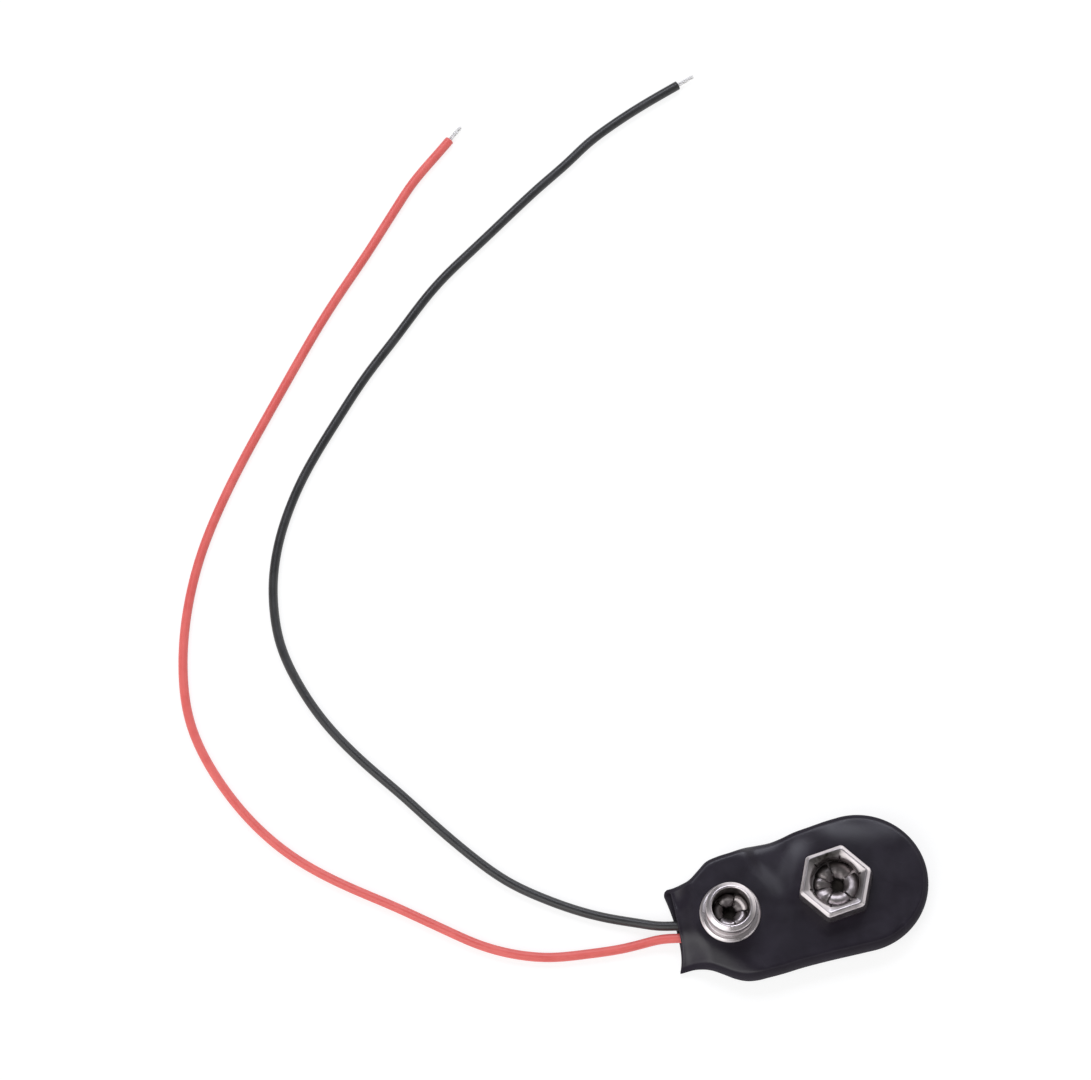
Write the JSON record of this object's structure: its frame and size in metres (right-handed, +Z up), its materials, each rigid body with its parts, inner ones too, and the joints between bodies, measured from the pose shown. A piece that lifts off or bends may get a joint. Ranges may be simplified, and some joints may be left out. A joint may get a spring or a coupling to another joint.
{
  "type": "battery snap connector",
  "caption": "Snap lead for a block battery: flat soft black vinyl pocket with a round stud, a hexagonal spring socket and soldered red and black leads.",
  "frame": {"origin": "bottom centre of the vinyl pocket, which lies on its back", "axes": "+X from the open mouth to the round end, +Z up out of the terminals"},
  "size_m": [0.0792, 0.111, 0.0061],
  "materials": {
    "black_vinyl": "soft satin vinyl",
    "fibre_board": "matte brown fibre",
    "nickel_plate": "bright nickel plate",
    "rivet_plate": "dull nickel plate",
    "solder": "grey solder",
    "black_pvc": "smooth black insulation",
    "red_pvc": "smooth red insulation",
    "tinned_wire": "tinned strands"
  },
  "bodies": {
    "root": {"vinyl_sleeve": "black_vinyl", "terminal_board": "fibre_board", "stud_terminal": "nickel_plate", "socket_terminal": "nickel_plate", "stud_rivet": "rivet_plate", "socket_rivet": "rivet_plate", "stud_solder": "solder", "socket_solder": "solder", "black_lead": "black_pvc", "red_lead": "red_pvc", "black_conductor": "tinned_wire", "red_conductor": "tinned_wire"}
  },
  "joints": []
}
